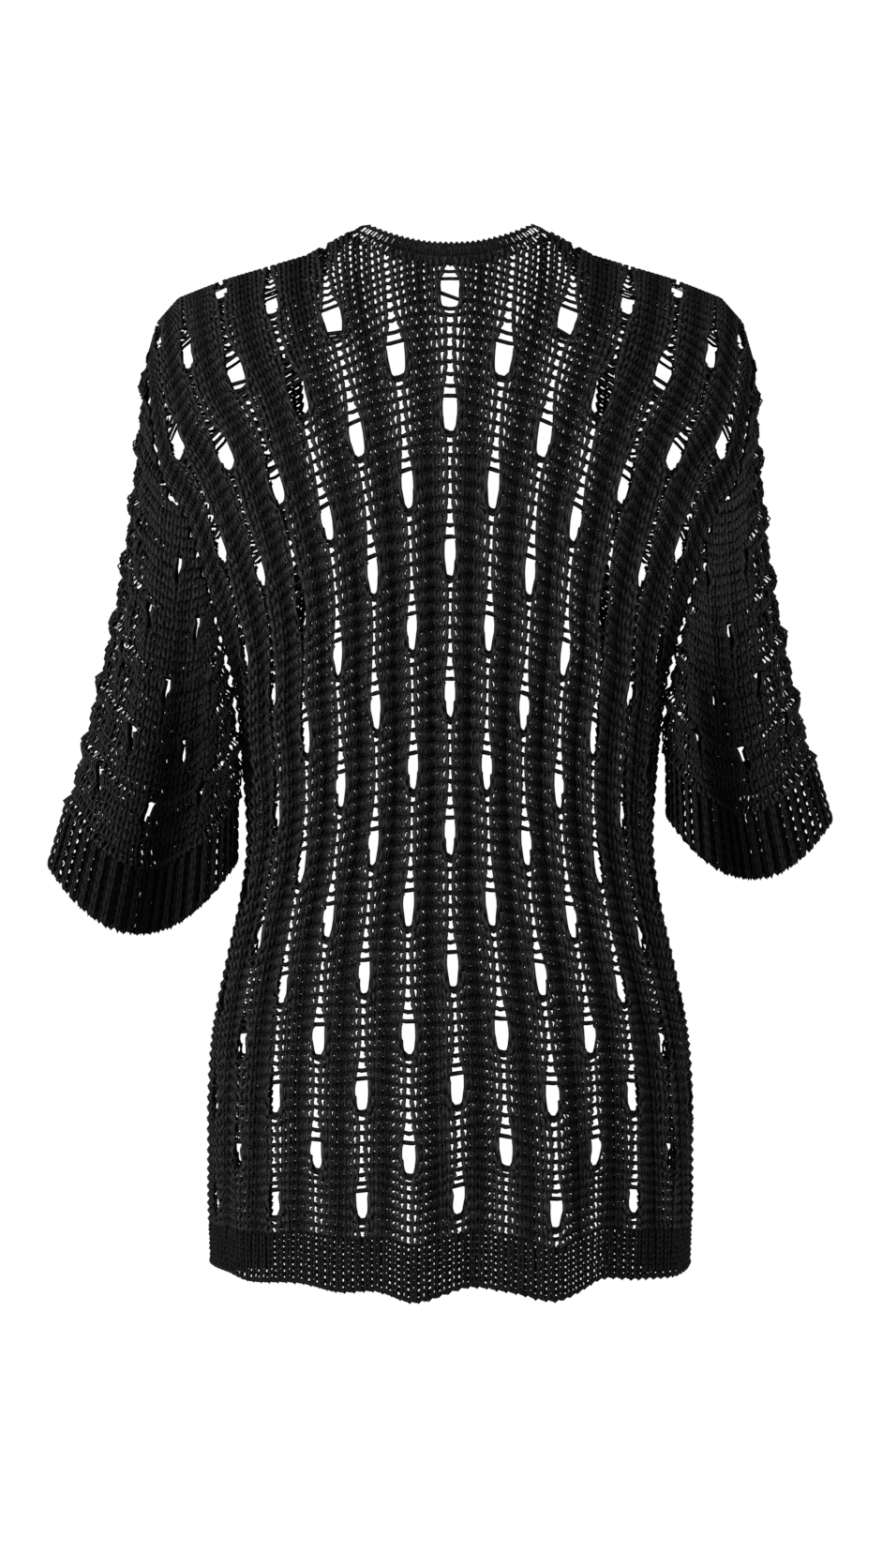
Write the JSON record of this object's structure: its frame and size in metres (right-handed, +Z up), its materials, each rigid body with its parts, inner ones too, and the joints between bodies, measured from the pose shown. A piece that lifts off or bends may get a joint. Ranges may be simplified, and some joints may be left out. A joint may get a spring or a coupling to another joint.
{
  "type": "open-knit cardigan",
  "caption": "Hip-length open-front cardigan in chunky lace knit with batwing half sleeves and ribbed hem and cuffs, filled out as if worn.",
  "frame": {"origin": "midway between the two neck points, level with them, where the wearer's shoulders carry the garment", "axes": "+Z up, from the hem to the neck; +Y towards the open front, so that the pictured back faces -Y; +X to the wearer's right"},
  "size_m": [0.5577, 0.2365, 0.7594],
  "materials": {
    "open_knit": "matte cotton tape yarn, dyed black",
    "rib_knit": "matte cotton tape yarn, dyed black, ribbed"
  },
  "bodies": {
    "root": {"back": "open_knit", "front_left": "open_knit", "front_right": "open_knit", "sleeve_left_back": "open_knit", "sleeve_left_front": "open_knit", "sleeve_right_back": "open_knit", "sleeve_right_front": "open_knit", "hem_back": "rib_knit", "hem_front_left": "rib_knit", "hem_front_right": "rib_knit", "front_band_left": "rib_knit", "front_band_right": "rib_knit", "neck_band": "rib_knit", "cuff_left": "rib_knit", "cuff_right": "rib_knit"}
  },
  "joints": []
}
